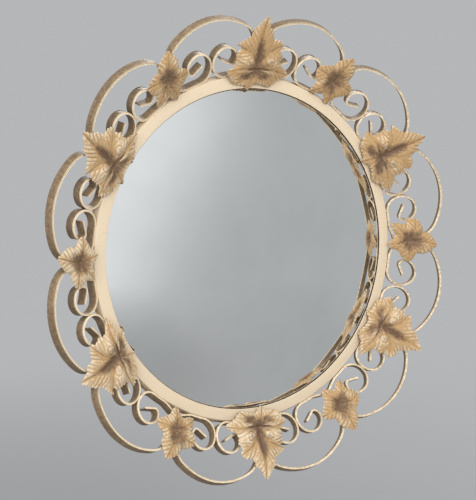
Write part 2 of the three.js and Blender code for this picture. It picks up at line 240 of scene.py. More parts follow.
# ---- materials -----------------------------
class Graph:
    """Short names for building the node tree of a material or a world."""

    def __init__(self, name, kind="materials", shader="Principled BSDF"):
        self.owner = getattr(bpy.data, kind).new(name)
        self.owner.use_nodes = True
        self.tree = self.owner.node_tree
        self.shader = self.tree.nodes[shader]
        self.places = self.add("ShaderNodeTexCoord").outputs

    def add(self, kind, inputs=None, **settings):
        node = self.tree.nodes.new(kind)
        for key, value in settings.items():
            setattr(node, key, value)
        self.feed(node, inputs or {})
        return node

    def feed(self, node, inputs):
        """Sets a node's inputs to numbers or colours, or links outputs to them."""
        for key, value in inputs.items():
            if isinstance(value, (int, float)):
                node.inputs[key].default_value = value
            elif isinstance(value, tuple):
                node.inputs[key].default_value = (*value, 1)
            elif value is not None:
                self.tree.links.new(value, node.inputs[key])

    def noise(self, size_mm, detail=3, roughness=0.55):
        inputs = {"Vector": self.places["Object"], "Scale": 1 / (size_mm * MM),
                  "Detail": detail, "Roughness": roughness}
        return self.add("ShaderNodeTexNoise", inputs).outputs["Fac"]

    def trait(self, name):
        return self.add("ShaderNodeAttribute", attribute_name=name).outputs["Fac"]

    def fit(self, value, low, high, to_low=0.0, to_high=1.0, interpolation="SMOOTHSTEP"):
        """A smooth step from to_low, where the value is low, to to_high, where it is high."""
        inputs = {"Value": value, "From Min": low, "From Max": high,
                  "To Min": to_low, "To Max": to_high}
        node = self.add("ShaderNodeMapRange", inputs, interpolation_type=interpolation)
        return node.outputs["Result"]

    def maths(self, operation, first, second):
        node = self.add("ShaderNodeMath", {0: first, 1: second}, operation=operation)
        return node.outputs["Value"]

    def mix(self, share, first, second):
        """The first colour, or the second where the share is 1."""
        node = self.add("ShaderNodeMix", {"Factor": share}, data_type="RGBA")
        colors = [i for i, socket in enumerate(node.inputs) if socket.type == "RGBA"]
        self.feed(node, dict(zip(colors, (first, second))))
        return next(o for o in node.outputs if o.type == "RGBA")

    def bump(self, height, depth_mm, strength, under=None):
        inputs = {"Height": height, "Distance": depth_mm * MM, "Strength": strength,
                  "Normal": under}
        return self.add("ShaderNodeBump", inputs).outputs["Normal"]

    def finish(self, **inputs):
        """Feeds the shader; inputs are named with _ for a space."""
        self.feed(self.shader, {key.replace("_", " "): inputs[key] for key in inputs})
        return self.owner


def dimmed(color, share):
    return tuple(c * share for c in color)


# Paints: cream, gold, brown, and the strength of their dark specks.
BROWN = (0.18, 0.108, 0.064)
RIM_PAINT = ((0.84, 0.69, 0.50), (0.74, 0.54, 0.32), BROWN, 0.2)
BAR_PAINT = ((0.90, 0.75, 0.54), (0.48, 0.35, 0.20), (0.205, 0.14, 0.085), 0.8)
LEAF_PAINT = ((0.84, 0.69, 0.49), (0.545, 0.345, 0.16), BROWN, 0.5)
SPECK_SHADE = 0.42        # brightness of a speck, as a share of the brown's
# Sizes of the paint's unevenness, millimetres.
PAINT_CLOUD = 24
PAINT_MOTTLE = 3.2
PAINT_GRAIN = 0.7


def gold_paint(name, cream, gold, brown, speck):
    """Antiqued gold paint: brown in the hollows, cream where it is rubbed.

    The traits, from 0 to 1, come from the mesh: the brown patina also carries painted shade, and
    the rubbed cream also carries painted highlight. Rubbed paint has no specks."""
    g = Graph(name)
    cloud = g.noise(PAINT_CLOUD, 2)
    mottle = g.noise(PAINT_MOTTLE, 4, 0.6)
    grain = g.noise(PAINT_GRAIN, 3, 0.6)
    patina_and_shade = g.maths("ADD", g.trait("patina_and_shade"), g.fit(cloud, 0.3, 0.7, -0.10, 0.10))
    patina_and_shade = g.maths("ADD", patina_and_shade, g.fit(mottle, 0.35, 0.65, -0.14, 0.14))
    rub_and_highlight = g.maths("ADD", g.trait("rub_and_highlight"), g.fit(mottle, 0.4, 0.65, -0.16, 0.16))
    color = g.mix(g.fit(rub_and_highlight, 0.25, 0.8), gold, cream)
    color = g.mix(g.fit(patina_and_shade, 0.12, 0.9), color, brown)
    specks = g.fit(g.maths("MULTIPLY", grain, mottle), 0.335, 0.40, 0, speck)
    specks = g.maths("MULTIPLY", specks, g.fit(g.trait("rub_and_highlight"), 0.3, 0.75, 1, 0))
    color = g.mix(specks, color, dimmed(brown, SPECK_SHADE))
    rough = g.fit(grain, 0.35, 0.7, 0.42, 0.62)
    normal = g.bump(grain, 0.03, 0.6, under=g.bump(mottle, 0.10, 0.5))
    return g.finish(Base_Color=color, Roughness=rough, Normal=normal, Metallic=0.12)


def mirror_material():
    g = Graph("silvered_glass")
    haze = g.noise(60)
    color = g.mix(g.fit(haze, 0.35, 0.7), (0.90, 0.915, 0.91), (0.86, 0.88, 0.88))
    rough = g.fit(haze, 0.3, 0.75, 0.015, 0.035)
    return g.finish(Base_Color=color, Roughness=rough, Metallic=1.0)


def board_material():
    g = Graph("fibre_board")
    fibre = g.noise(1.4, 5, 0.7)
    color = g.mix(g.fit(g.noise(40), 0.3, 0.7), (0.20, 0.125, 0.07), (0.27, 0.175, 0.10))
    color = g.mix(g.fit(fibre, 0.55, 0.75, 0, 0.6), color, (0.12, 0.07, 0.04))
    rough = g.fit(fibre, 0.3, 0.7, 0.6, 0.85)
    return g.finish(Base_Color=color, Roughness=rough, Normal=g.bump(fibre, 0.12, 0.7))


def steel_material(name, color, smooth):
    """Sheet or wire; smooth is its least roughness, between the scratches."""
    g = Graph(name)
    scratch = g.noise(0.5, 3, 0.6)
    tone = g.mix(g.fit(g.noise(9, 4, 0.65), 0.4, 0.75), color, dimmed(color, 0.55))
    rough = g.fit(scratch, 0.3, 0.7, smooth, smooth + 0.25)
    normal = g.bump(scratch, 0.02, 0.5)
    return g.finish(Base_Color=tone, Roughness=rough, Normal=normal, Metallic=0.9)


def card_material():
    g = Graph("grey_card")
    fibre = g.noise(0.9, 4)
    color = g.mix(fibre, (0.26, 0.23, 0.19), (0.34, 0.31, 0.26))
    return g.finish(Base_Color=color, Roughness=0.95, Normal=g.bump(fibre, 0.05, 0.6))


# ---- rim and glass -------------------------
RIM_STEPS = 480           # points round the rim
DISC_STEPS = 240          # points round the glass and the board
BAND_PEAK = 0.45          # where the band is foremost, as a share of its width
BAND_PEAK_ROUND = 20
BAND_DROP_IN = 0.05       # how far its inner edge lies behind the peak
BAND_DROP_OUT = 0.25      # and its outer edge
WALL_EDGE_ROUND = 0.5


def add_rim(material):
    """The rim's sheet: the band, with its lip over the glass, and the wall behind it."""
    corners = [           # radius, y, rounding
        (SIGHT_RADIUS, LIP_REAR, 0.2),
        (SIGHT_RADIUS, LIP_FRONT + BAND_DROP_IN, LIP_HEM),
        (SIGHT_RADIUS + BAND_PEAK * BAND_WIDTH, LIP_FRONT, BAND_PEAK_ROUND),
        (RIM_RADIUS, LIP_FRONT + BAND_DROP_OUT, RIM_CORNER),
        (wall_outer(RIM_REAR), RIM_REAR, WALL_EDGE_ROUND),
        (wall_outer(RIM_REAR) - RIM_SKIN, RIM_REAR, WALL_EDGE_ROUND),
        (wall_outer(LIP_REAR) - RIM_SKIN, LIP_REAR, 0.3),
    ]
    points, faces = revolve(rounded(corners, 0, 5), RIM_STEPS)
    outside = np.hypot(points[:, 0], points[:, 2]) > SIGHT_RADIUS + 0.6 * BAND_WIDTH
    front = np.clip((LIP_FRONT + 1.6 - points[:, 1]) / 1.2, 0, 1)
    # Painted shade: the outer wall goes from cream at its front to brown at its rear, where it
    # lies in shadow behind the crown.
    back = ease(points[:, 1] - LIP_FRONT, 1.0, 7.5)
    # Painted shadow: the rear of the lip's inner edge is painted dark brown, for the shade in the
    # gap at the glass.
    lip_gap_shadow = 0.95 * ease(points[:, 1] - LIP_FRONT, 0.4, 0.62)
    rub_and_highlight = np.where(outside, 1 - back, 0.25 + 0.75 * front)
    patina_and_shade = np.where(outside, 0.6 * back, np.maximum(lip_gap_shadow, 0.02))
    piece = to_object("rim_skin", points, faces, {"rub_and_highlight": rub_and_highlight, "patina_and_shade": patina_and_shade})
    install(piece, "bezel_ring", material)


def add_glass(material):
    radii = np.linspace(0, GLASS_RADIUS, 60)[1:]
    front = np.stack([radii, glass_front(radii)], axis=1)
    rear = front[::-1] + [0, GLASS_THICKNESS]
    points, faces = revolve(np.vstack([front, rear]), DISC_STEPS, on_axis=True)
    points[-2:, 1] = glass_front(0), glass_front(0) + GLASS_THICKNESS
    piece = to_object("silvered_glass", points, faces)
    install(piece, "convex_glass", material)


# ---- bars ----------------------------------
PATH_STEP = 1.2           # spacing of points along a bar
SECTION_STEP = 2.2        # spacing of points across its sides
SECTION_NEAR = [0.12, 0.75, 1.35]     # points close behind its rounded edges, for the paint
BAR_END = [(0.0, 0.45), (0.18, 0.15), (0.5, 0.0)]   # distance from an end, and the draw-in there
BAR_WAVE = 0.05           # how far the front edge wanders back
# The cream of the front edge is rubbed paint and partly painted highlight.
CREAM_DEPTH = (0.8, 1.5)  # where the cream of the front edge gives out
# How far the front edges are rubbed to cream at the top, and how much lighter they are painted on
# the left, as painted light.
BAR_RUB, BAR_LIGHT_LEFT = 0.74, 0.12


class Pen:
    """Draws a plane curve with straight runs and arcs; positive sweeps turn left."""

    def __init__(self, x, z, heading):
        self.at = np.array([x, z], dtype=float)
        self.heading = heading
        self.points = [self.at]

    def run(self, length, step=PATH_STEP):
        count = max(2, int(round(length / step)))
        way = np.array([math.cos(self.heading), math.sin(self.heading)])
        for i in range(1, count + 1):
            self.points.append(self.at + way * length * i / count)
        self.at = self.points[-1]

    def turn(self, radius, sweep, step=PATH_STEP):
        count = max(4, int(round(abs(sweep) * radius / step)))
        side = math.copysign(1, sweep)
        start = self.heading - side * math.pi / 2
        middle = self.at - radius * np.array([math.cos(start), math.sin(start)])
        for i in range(1, count + 1):
            a = start + sweep * i / count
            self.points.append(middle + radius * np.array([math.cos(a), math.sin(a)]))
        self.at = self.points[-1]
        self.heading += sweep


def bar_section():
    """Rounded section of the flat bar: (side, depth) from the middle of its front edge."""
    corners = [(-BAR_HALF, 0), (BAR_HALF, 0), (BAR_HALF, BAR_WIDTH), (-BAR_HALF, BAR_WIDTH)]
    outline = rounded(corners, BAR_ROUND, 3)
    section = []
    for i, point in enumerate(outline):
        section.append(point)
        following = outline[(i + 1) % len(outline)]
        gap = np.linalg.norm(following - point)
        if gap > 1:
            near = SECTION_NEAR if gap > BAR_THICKNESS else SECTION_NEAR[:1]
            shares = np.linspace(0, 1, int(gap // SECTION_STEP) + 2)[1:-1]
            along = near + (gap * shares).tolist() + [gap - step for step in reversed(near)]
            section += [point + (following - point) * step / gap for step in along]
    return np.array(section)


SECTION = bar_section()


def stand_on_crown(across, up, depth):
    """The dished crown: depth runs back from its front surface, square to it."""
    radius = np.hypot(across, up)
    spread = (radius + depth * math.sin(DISH)) / radius
    y = crown_front(radius) + depth * math.cos(DISH)
    return np.stack([across * spread, y, up * spread], axis=-1)


def bar(path, wear_and_light, rng):
    """Mesh of a flat bar along a plane path, with rounded edges and ends.

    The second argument says how far the gold of its front edge is painted cream, by rubbing and by
    painted light."""
    way, side = way_and_side(path)
    stations = [(path[0] + way[0] * back, side[0], inset) for back, inset in BAR_END]
    stations += [(path[i], side[i], 0.0) for i in range(1, len(path) - 1)]
    stations += [(path[-1] - way[-1] * back, side[-1], inset) for back, inset in reversed(BAR_END)]
    wave = np.cumsum(rng.normal(0, 1, len(stations)))
    wave -= np.linspace(wave[0], wave[-1], len(stations))
    wave = BAR_WAVE * wave / (np.abs(wave).max() + 1e-6)
    middle = BAR_WIDTH / 2
    rings = []
    for (point, normal, inset), wobble in zip(stations, wave):
        offset = SECTION[:, 0] * ((BAR_HALF - inset) / BAR_HALF)
        depth = middle + (SECTION[:, 1] - middle) * ((middle - inset) / middle)
        depth = depth + np.maximum(0, wobble) * (1 - SECTION[:, 1] / BAR_WIDTH)
        flat = point[None] + normal[None] * offset[:, None]
        rings.append(stand_on_crown(flat[:, 0], flat[:, 1], depth))
    points, faces = tube(rings)
    depth = np.tile(SECTION[:, 1], len(rings))
    # Cream front edge and brown sides: rubbed paint and antique brown, with painted highlight on
    # the front and painted shade that darkens the sides towards the back.
    side_patina_and_shade = ease(depth, *CREAM_DEPTH)
    patina_and_shade = side_patina_and_shade * (0.6 + 0.16 * ease(depth, 1, 6))
    return points, faces, {"rub_and_highlight": wear_and_light * (1 - side_patina_and_shade), "patina_and_shade": patina_and_shade}


def both_sides(half):
    """A whole path from its right half, which starts on the line of symmetry."""
    return np.vstack([half[:0:-1] * [-1, 1], half])


def scroll_path():
    """Middle line of a scroll: a stem along the rim, with a curl and an eye on each side."""
    pen = Pen(CURL_FOOT * math.sin(CURL_ANGLE), CURL_FOOT * math.cos(CURL_ANGLE), -CURL_ANGLE)
    pen.turn(CURL_RADIUS, CURL_SWEEP)
    pen.turn(CURL_INNER_RADIUS, CURL_INNER_SWEEP, step=0.9)
    pen.turn(EYE_RADIUS, EYE_SWEEP, step=0.6)
    pen.run(EYE_TAIL)
    shares = np.linspace(0, 1, 24, endpoint=False)
    lift = np.clip(1 - shares / (1 - STEM_FLAT), 0, None)
    radius = CURL_FOOT + STEM_RISE * lift * lift * (3 - 2 * lift)
    angles = CURL_ANGLE * shares
    stem = np.stack([radius * np.sin(angles), radius * np.cos(angles)], axis=1)
    return both_sides(np.vstack([stem, pen.points]))


def arc_path():
    """Middle line of an outer arc, whose legs come down between the scrolls."""
    peak = RIM_RADIUS + ARC_RISE
    side = BAR_HALF + FIT_GAP / 2
    foot = CURL_FOOT + STEM_RISE + BAR_HALF + FIT_GAP
    in_x = ARC_RADIUS * math.sin(ARC_SWEEP)
    in_z = peak - ARC_RADIUS * (1 - math.cos(ARC_SWEEP))
    away = in_z * math.sin(HALF_STATION) - in_x * math.cos(HALF_STATION) - side
    last = math.pi / 2 + HALF_STATION - ARC_SWEEP
    pen = Pen(0, peak, 0)
    pen.turn(ARC_RADIUS, -ARC_SWEEP, step=1.6)
    pen.turn(away / (1 - math.cos(last)), -last)
    pen.run(pen.at[0] * math.sin(HALF_STATION) + pen.at[1] * math.cos(HALF_STATION) - foot)
    return both_sides(np.array(pen.points))


def add_bars(material):
    """A scroll at each station, and an arc over each gap between two scrolls."""
    rng = np.random.default_rng(7)
    kinds = [("scroll_bar", "scroll", scroll_path(), 0),
             ("arc_bar", "outer_arc", arc_path(), HALF_STATION)]
    for i in range(STATIONS):
        angle = 2 * HALF_STATION * i
        # Painted light: the bars on the left get more cream.
        wear_and_light = BAR_RUB - BAR_LIGHT_LEFT * math.sin(angle)
        for name, node, path, shift in kinds:
            points, faces, traits = bar(path, wear_and_light, rng)
            piece = to_object(f"{name}_{i + 1}", turned(points, angle + shift), faces, traits)
            install(piece, f"{node}_{i + 1}", material)


# Brazing: depths behind the crown's front, and how full the fillet is at each.
FILLET_DEPTHS = np.array([0.9, 1.3, 2.5, 4.2, 6.0, 7.4, 8.3, 8.7])
FILLET_TAPER = np.array([0.15, 0.7, 1, 0.92, 1, 0.9, 0.6, 0.15])
FILLET_SIZE = 2.6
FILLET_PAINT = {"rub_and_highlight": 0.3, "patina_and_shade": 0.5}


def fillet(across, up, angle, rng):
    """Brazing metal in the notch between two bars, or between a bar and the rim."""
    turns = full_turn(24)
    astroid = np.stack([0.55 * np.cos(turns) ** 3 + 0.1 * np.cos(turns),
                        np.sin(turns) ** 3], axis=1)
    shares = FILLET_TAPER * rng.uniform(0.85, 1.1, len(FILLET_DEPTHS))
    rings = []
    for depth, share in zip(FILLET_DEPTHS, shares):
        local = spun(astroid * FILLET_SIZE * share, angle)
        rings.append(stand_on_crown(across + local[:, 0], up + local[:, 1], depth))
    return tube(rings)


def add_brazing(material):
    """Fillets where each scroll's curls meet the rim and the next scroll."""
    rng = np.random.default_rng(13)
    foot = RIM_RADIUS + FIT_GAP / 2
    between = (CURL_FOOT + CURL_RADIUS) * math.cos(HALF_STATION - CURL_ANGLE)
    spots = [(between * math.sin(HALF_STATION), between * math.cos(HALF_STATION), -HALF_STATION)]
    for side in (-1, 1):
        spots.append((side * foot * math.sin(CURL_ANGLE), foot * math.cos(CURL_ANGLE),
                      math.pi / 2 - side * CURL_ANGLE))
    for i in range(STATIONS):
        points, faces = [], []
        for across, up, angle in spots:
            lump_points, lump_faces = fillet(across, up, angle, rng)
            faces += [tuple(k + len(points) for k in face) for face in lump_faces]
            points += lump_points.tolist()
        points = turned(points, 2 * HALF_STATION * i)
        traits = {key: np.full(len(points), value) for key, value in FILLET_PAINT.items()}
        piece = to_object(f"brazing_{i + 1}", points, faces, traits, PRESSED_SHARP_ANGLE)
        piece.data.materials.append(material)
        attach(piece, "mirror")


# ---- leaves --------------------------------
# Outlines are [across, outwards] from the leaf's middle, tip first, counterclockwise.
VINE_OUTLINE = np.array([
    [0.4, 45.5], [-6.8, 38.2], [-12.4, 32.3], [-14.5, 26], [-18.5, 22.8], [-29, 16.2],
    [-23.4, 13.9], [-26.6, 8.5], [-27.5, 2], [-26.8, -5.5], [-34.5, -11], [-29.6, -16.8],
    [-23.6, -22.4], [-14, -23.8], [-9.5, -24], [-6.4, -28], [-1.2, -24.2], [1.8, -21.5],
    [10.5, -21.8], [18.4, -24], [22.5, -23], [28.8, -17.2], [35.8, -13.8], [41, -10.4],
    [34, -4.8], [29, -2.2], [27.4, 2], [28.2, 8], [24.7, 13.3], [27, 18.5],
    [21.6, 23.2], [13.8, 24.3], [11, 31.8], [6.8, 34.8], [4.4, 40.2]])
IVY_OUTLINE = np.array([
    [5.9, 29.4], [-4.1, 23.8], [-8.4, 19.4], [-11.4, 13.9], [-16, 13], [-23.9, 8.3],
    [-25.9, 4.3], [-23.5, -2.7], [-19.4, -6.5], [-20.2, -12.7], [-20.3, -18.2], [-13.2, -18],
    [-6, -15], [0.4, -20.6], [4.8, -22.9], [8.4, -19], [11, -13.5], [16.4, -10.2],
    [22.4, -5.7], [24.5, -2.5], [21.4, 3], [15, 6.8], [15.7, 14], [13, 20.6], [9.5, 25]])
# Veins run from near the hub out to the tips, in the same coordinates.
VINE_HUB = (0, -6)
VINE_VEINS = [
    [VINE_HUB, (-0.5, 18), (0.4, 46)],
    [(-1, -1), (-11, 9), (-29, 16.5)],
    [(1, -1), (12, 11), (27, 19)],
    [VINE_HUB, (-16, -7), (-35, -11)],
    [VINE_HUB, (18, -7.5), (41, -10.5)],
    [VINE_HUB, (-10, -16), (-22, -24)],
    [VINE_HUB, (11, -15), (22, -24)],
    [VINE_HUB, (-4, -18), (-6.4, -28)],
]
IVY_HUB = (-1, -1)
IVY_VEINS = [
    [IVY_HUB, (1, 12), (5.9, 29.4)],
    [IVY_HUB, (-14, 4), (-26, 5)],
    [IVY_HUB, (13, -2), (24.5, -2.5)],
    [IVY_HUB, (-11, -10), (-20, -18)],
    [IVY_HUB, (3, -12), (4.8, -23)],
]
# Placings: turn in degrees, shift across and outwards, and how far the gold is painted cream, by
# rubbing and by painted light that makes the leaves on the left and at the bottom lighter.
VINE_PLACING = [(2, 0, 0, 0.12), (3.7, 0, 0, 0.12), (5, 0, 0, 0.22), (3, 0, 0, 0.33),
                (10, 0, 0, 0.34), (7, 0, 0, 0.28)]
IVY_PLACING = [(-8, -4.5, -1, 0.05), (0, 0, 0, 0.03), (-4, -1, 2.5, 0.12), (-3, 0, 2.5, 0.2),
               (0, 2, 0, 0.34), (1, -3, 1, 0.12)]
# How a leaf stands: the way from the rim's edge out to its middle, its tilt, where its back
# stands off the rim and how far, and the height of its dome.
VINE_STAND = (13.4, math.radians(20.8), (SIGHT_RADIUS, 0.9), 2.6)
IVY_STAND = (20.4, math.radians(24), (RIM_RADIUS, 1.6), 2.2)
# Flutes: their veins, their pitch, and how far they lean to the tips.
VINE_FLUTES = (VINE_VEINS, 7.0, 1.45)
IVY_FLUTES = (IVY_VEINS, 5.6, 1.0)
VINE_TOOTH = 1.5          # height of the teeth where flutes meet the edge
IVY_TOOTH = 0.5
IVY_RAYS = 31             # fine pleats round the hub
LEAF_METAL = 0.9
LEAF_STEP = 0.65          # spacing of a leaf's points
LEAF_EDGE = 0.22          # rounding of its cut edge
EDGE_PAINT = {"rub_and_highlight": 0.75, "patina_and_shade": 0.1}
BACK_PAINT = {"rub_and_highlight": 0.1, "patina_and_shade": 0.6}


def along_vein(u, v, line):
    """Distance to a vein, and how far along it the nearest point lies."""
    line = np.asarray(line, dtype=float)
    best = np.full(np.shape(u), 1e9)
    place = np.zeros(np.shape(u))
    done = 0.0
    for a, b in zip(line[:-1], line[1:]):
        length = np.linalg.norm(b - a)
        way = (b - a) / length
        reach = np.clip((u - a[0]) * way[0] + (v - a[1]) * way[1], 0, length)
        gap = np.hypot(u - a[0] - way[0] * reach, v - a[1] - way[1] * reach)
        place = np.where(gap < best, done + reach, place)
        best = np.minimum(gap, best)
        done += length
    return best, place


def bell(distance, width, power=2):
    """1 where the distance is 0, and next to nothing from twice the width."""
    return np.exp(-(distance / width) ** power)


def swell(u, v, middle, width, height):
    return height * np.exp(-((u - middle[0]) / width[0]) ** 2 - ((v - middle[1]) / width[1]) ** 2)


def flutes(u, v, veins, pitch, lean):
    """Distance to the nearest vein, and the wave of flutes that lean from it to the tips."""
    gaps, phases = [], []
    for line in veins:
        gap, place = along_vein(u, v, line)
        gaps.append(gap)
        phases.append((place - lean * gap) / pitch)
    gaps = np.array(gaps)
    nearest = gaps.min(axis=0)
    weight = np.exp(-(gaps - nearest) / 0.8)
    weight /= weight.sum(axis=0)
    ridges = np.sqrt(np.cos(math.pi * np.array(phases)) ** 2 + 0.015)
    return nearest, (weight * ridges).sum(axis=0)


def vine_relief(u, v, share):
    """Height of the pressed relief, and how much brown paint lies there."""
    nearest, wave = flutes(u, v, *VINE_FLUTES)
    midrib, place = along_vein(u, v, VINE_VEINS[0])
    # The blade swells between the veins, and carries flutes.
    height = 1.3 * (1 - bell(nearest, 4.5)) * ease(1.15 - share, 0, 0.4)
    height += ((0.24 + 0.2 * np.sin(u / 4.1) * np.sin(v / 4.7)) * (wave - 0.4)
               * ease(nearest, 0.5, 5))
    height -= 0.35 * bell(nearest, 0.9)
    # A trough along the midrib, which narrows to the tip, and a crease across the leaf's base.
    trough = bell(midrib, 4.6 - 2.6 * ease(place, 14, 42)) * (1 - 0.7 * ease(place, 18, 44))
    height -= 1.7 * trough
    crease = bell(v + 7.2 + 0.06 * np.abs(u), 0.9) * (1 - ease(np.abs(u - 1), 9, 17))
    height -= 1.5 * crease
    # A cheek on each side of the midrib, with a knob in a ring on it.
    height += swell(u, v, (-14, -0.5), (8.5, 7.5), 2.6) + swell(u, v, (14.5, 0), (8.5, 7.5), 2.5)
    knobs = 0
    for across in (-9.6, 12.2):
        knob = np.hypot(u - across, v - 0.6)
        height += 0.55 * bell(knob, 3.3, 4) - 0.4 * bell(knob - 4.7, 1.1)
        knobs = knobs + bell(knob, 4.6, 4)
    # A hollow and a roll in each of the lower lobes.
    height -= swell(u, v, (-12, -15.5), (7, 3.4), 1.3) + swell(u, v, (8.5, -16), (7, 3.4), 1.3)
    height += swell(u, v, (-16, -10), (11, 2.6), 1.0) + swell(u, v, (15, -10.5), (11, 2.6), 1.0)
    browns = [
        0.9 * bell(midrib, 7.2 - 2.5 * ease(place, 10, 34)) * (1 - ease(place, 18, 40)),
        0.95 * crease, 0.5 * knobs, 0.3 * bell(nearest, 1.7),
        swell(u, v, (0, -9), (16, 8), 0.98),
        swell(u, v, (-11, -14), (12, 5.5), 0.78), swell(u, v, (9, -14.5), (11, 5.5), 0.78),
        0.3 * (1.2 - wave) * ease(nearest, 0.5, 4),
    ]
    return height + 1.2, np.max(browns, axis=0)


def ivy_relief(u, v, share):
    """The same for an ivy leaf."""
    nearest, wave = flutes(u, v, *IVY_FLUTES)
    from_hub = np.hypot(u - IVY_HUB[0], v - IVY_HUB[1])
    turn = np.arctan2(v - IVY_HUB[1], u - IVY_HUB[0])
    ray = np.cos(IVY_RAYS * turn) * ease(from_hub, 1.5, 4) * (1 - ease(from_hub, 9, 16))
    height = 0.9 * (1 - bell(nearest, 4.5)) - 0.4 * bell(nearest, 0.8)
    height += 0.24 * (wave - 0.5) * ease(nearest, 0.5, 3) * ease(from_hub, 4, 10)
    # It is cupped round the hub, where a small button stands, and droops at its edge.
    height += 2.3 * ease(from_hub, 0, 15) + 0.13 * ray - 1.6 * share ** 5
    height += 0.4 * bell(from_hub, 1.5, 4)
    # The brown reaches out of the cup with a ragged edge.
    reach = np.hypot(u + 1, 0.85 * (v - 1)) - 0.9 * np.cos(5 * turn + 0.6) - 0.8 * np.sin(9 * turn)
    browns = [0.76 * (1 - ease(reach, 4, 20)) + 0.26 * ray, 0.4 * bell(nearest, 1.1),
              0.42 * (1.1 - wave) * ease(nearest, 0.5, 3)]
    return height + 0.6, np.max(browns, axis=0)


def polar(points):
    return np.arctan2(points[:, 1], points[:, 0]), np.hypot(points[:, 0], points[:, 1])


def pushed_out(points, distance):
    """Moves points away from the leaf's middle."""
    return points * (1 + distance / polar(points)[1])[:, None]


def fine_outline(outline, fluting, tooth):
    """A smooth line through an outline's points, with a tooth where each flute ends."""
    count = len(outline)
    slack, mean_wave = 0.4, 0.65
    points = []
    for i in range(count):
        p0, p1, p2, p3 = (outline[(i + k - 1) % count] for k in range(4))
        steps = max(2, int(round(np.linalg.norm(p2 - p1) / LEAF_STEP)))
        for t in np.arange(steps) / steps:
            start, end = 2 * t ** 3 - 3 * t ** 2 + 1, 3 * t ** 2 - 2 * t ** 3
            leave, arrive = t ** 3 - 2 * t ** 2 + t, t ** 3 - t ** 2
            points.append(start * p1 + end * p2 + slack * (leave * (p2 - p0) + arrive * (p3 - p1)))
    points = np.array(points)
    wave = flutes(points[:, 0], points[:, 1], *fluting)[1]
    return pushed_out(points, tooth * (wave - mean_wave))


class LeafPattern:
    """Triangles over a leaf's outline; the outline's own points come first.

    share says how far out each point lies, from 0 in the middle to 1 at the edge."""

    def __init__(self, outline, fluting, tooth):
        self.rim = fine_outline(outline, fluting, tooth)
        edge = pushed_out(self.rim, -LEAF_EDGE)
        self.points = np.vstack([edge, self.fill(edge)])
        self.count = len(edge)
        loop = [(i, (i + 1) % self.count) for i in range(self.count)]
        made = delaunay_2d_cdt([Vector(p) for p in self.points], loop, [], 1, 1e-6)
        source = [originals[0] for originals in made[3]]
        self.faces = [tuple(source[i] for i in face) for face in made[2]]
        a, b, c = (self.points[self.faces[0][k]] for k in range(3))
        if np.cross(b - a, c - a) < 0:
            self.faces = flipped(self.faces)
        turn, reach = polar(np.vstack([self.points, self.rim]))
        full = np.interp(turn, *polar(self.rim), period=2 * math.pi)
        self.share = np.clip(reach / full, 0, 1)

    def fill(self, edge):
        """Points in even rows inside the edge, and not too close to it."""
        low, high = edge.min(axis=0), edge.max(axis=0)
        rows = []
        for k, v in enumerate(np.arange(low[1], high[1], LEAF_STEP * math.sqrt(3) / 2)):
            u = np.arange(low[0] + (k % 2) * LEAF_STEP / 2, high[0], LEAF_STEP)
            rows.append(np.stack([u, np.full(len(u), v)], axis=1))
        inside = np.vstack(rows)
        (u1, v1), (u2, v2) = edge.T, np.roll(edge, -1, axis=0).T
        u, v = inside[:, :1], inside[:, 1:]
        rise = np.where(np.abs(v2 - v1) < 1e-9, 1e-9, v2 - v1)
        crossed = ((v1 > v) != (v2 > v)) & (u1 + (v - v1) / rise * (u2 - u1) > u)
        inside = inside[crossed.sum(axis=1) % 2 == 1]
        gap = np.sqrt(((inside[:, None] - edge[None]) ** 2).sum(axis=2)).min(axis=1)
        return inside[gap > 0.55 * LEAF_STEP]


def ground_front(radius):
    """The foremost surface under a leaf, from the glass over the band to the crown."""
    within = np.minimum(LIP_FRONT, glass_front(np.minimum(radius, SIGHT_RADIUS)))
    return np.where(radius > RIM_RADIUS, crown_front(radius), within)


def leaf_sheet(pattern, x, z, front, back):
    """Points and faces of a leaf: its front, its rounded cut edge and its back."""
    inner, count = len(pattern.points), pattern.count
    points = np.vstack([
        np.stack([x[:inner], front[:inner], z[:inner]], axis=1),
        np.stack([x[inner:], front[inner:] + LEAF_METAL / 2, z[inner:]], axis=1),
        np.stack([x[:inner], back[:inner], z[:inner]], axis=1),
    ])
    rear = inner + count
    faces = pattern.faces + [tuple(i + rear for i in face) for face in flipped(pattern.faces)]
    for i in range(count):
        k = (i + 1) % count
        faces.append((k, i, inner + i, inner + k))
        faces.append((inner + k, inner + i, rear + i, rear + k))
    return points, faces


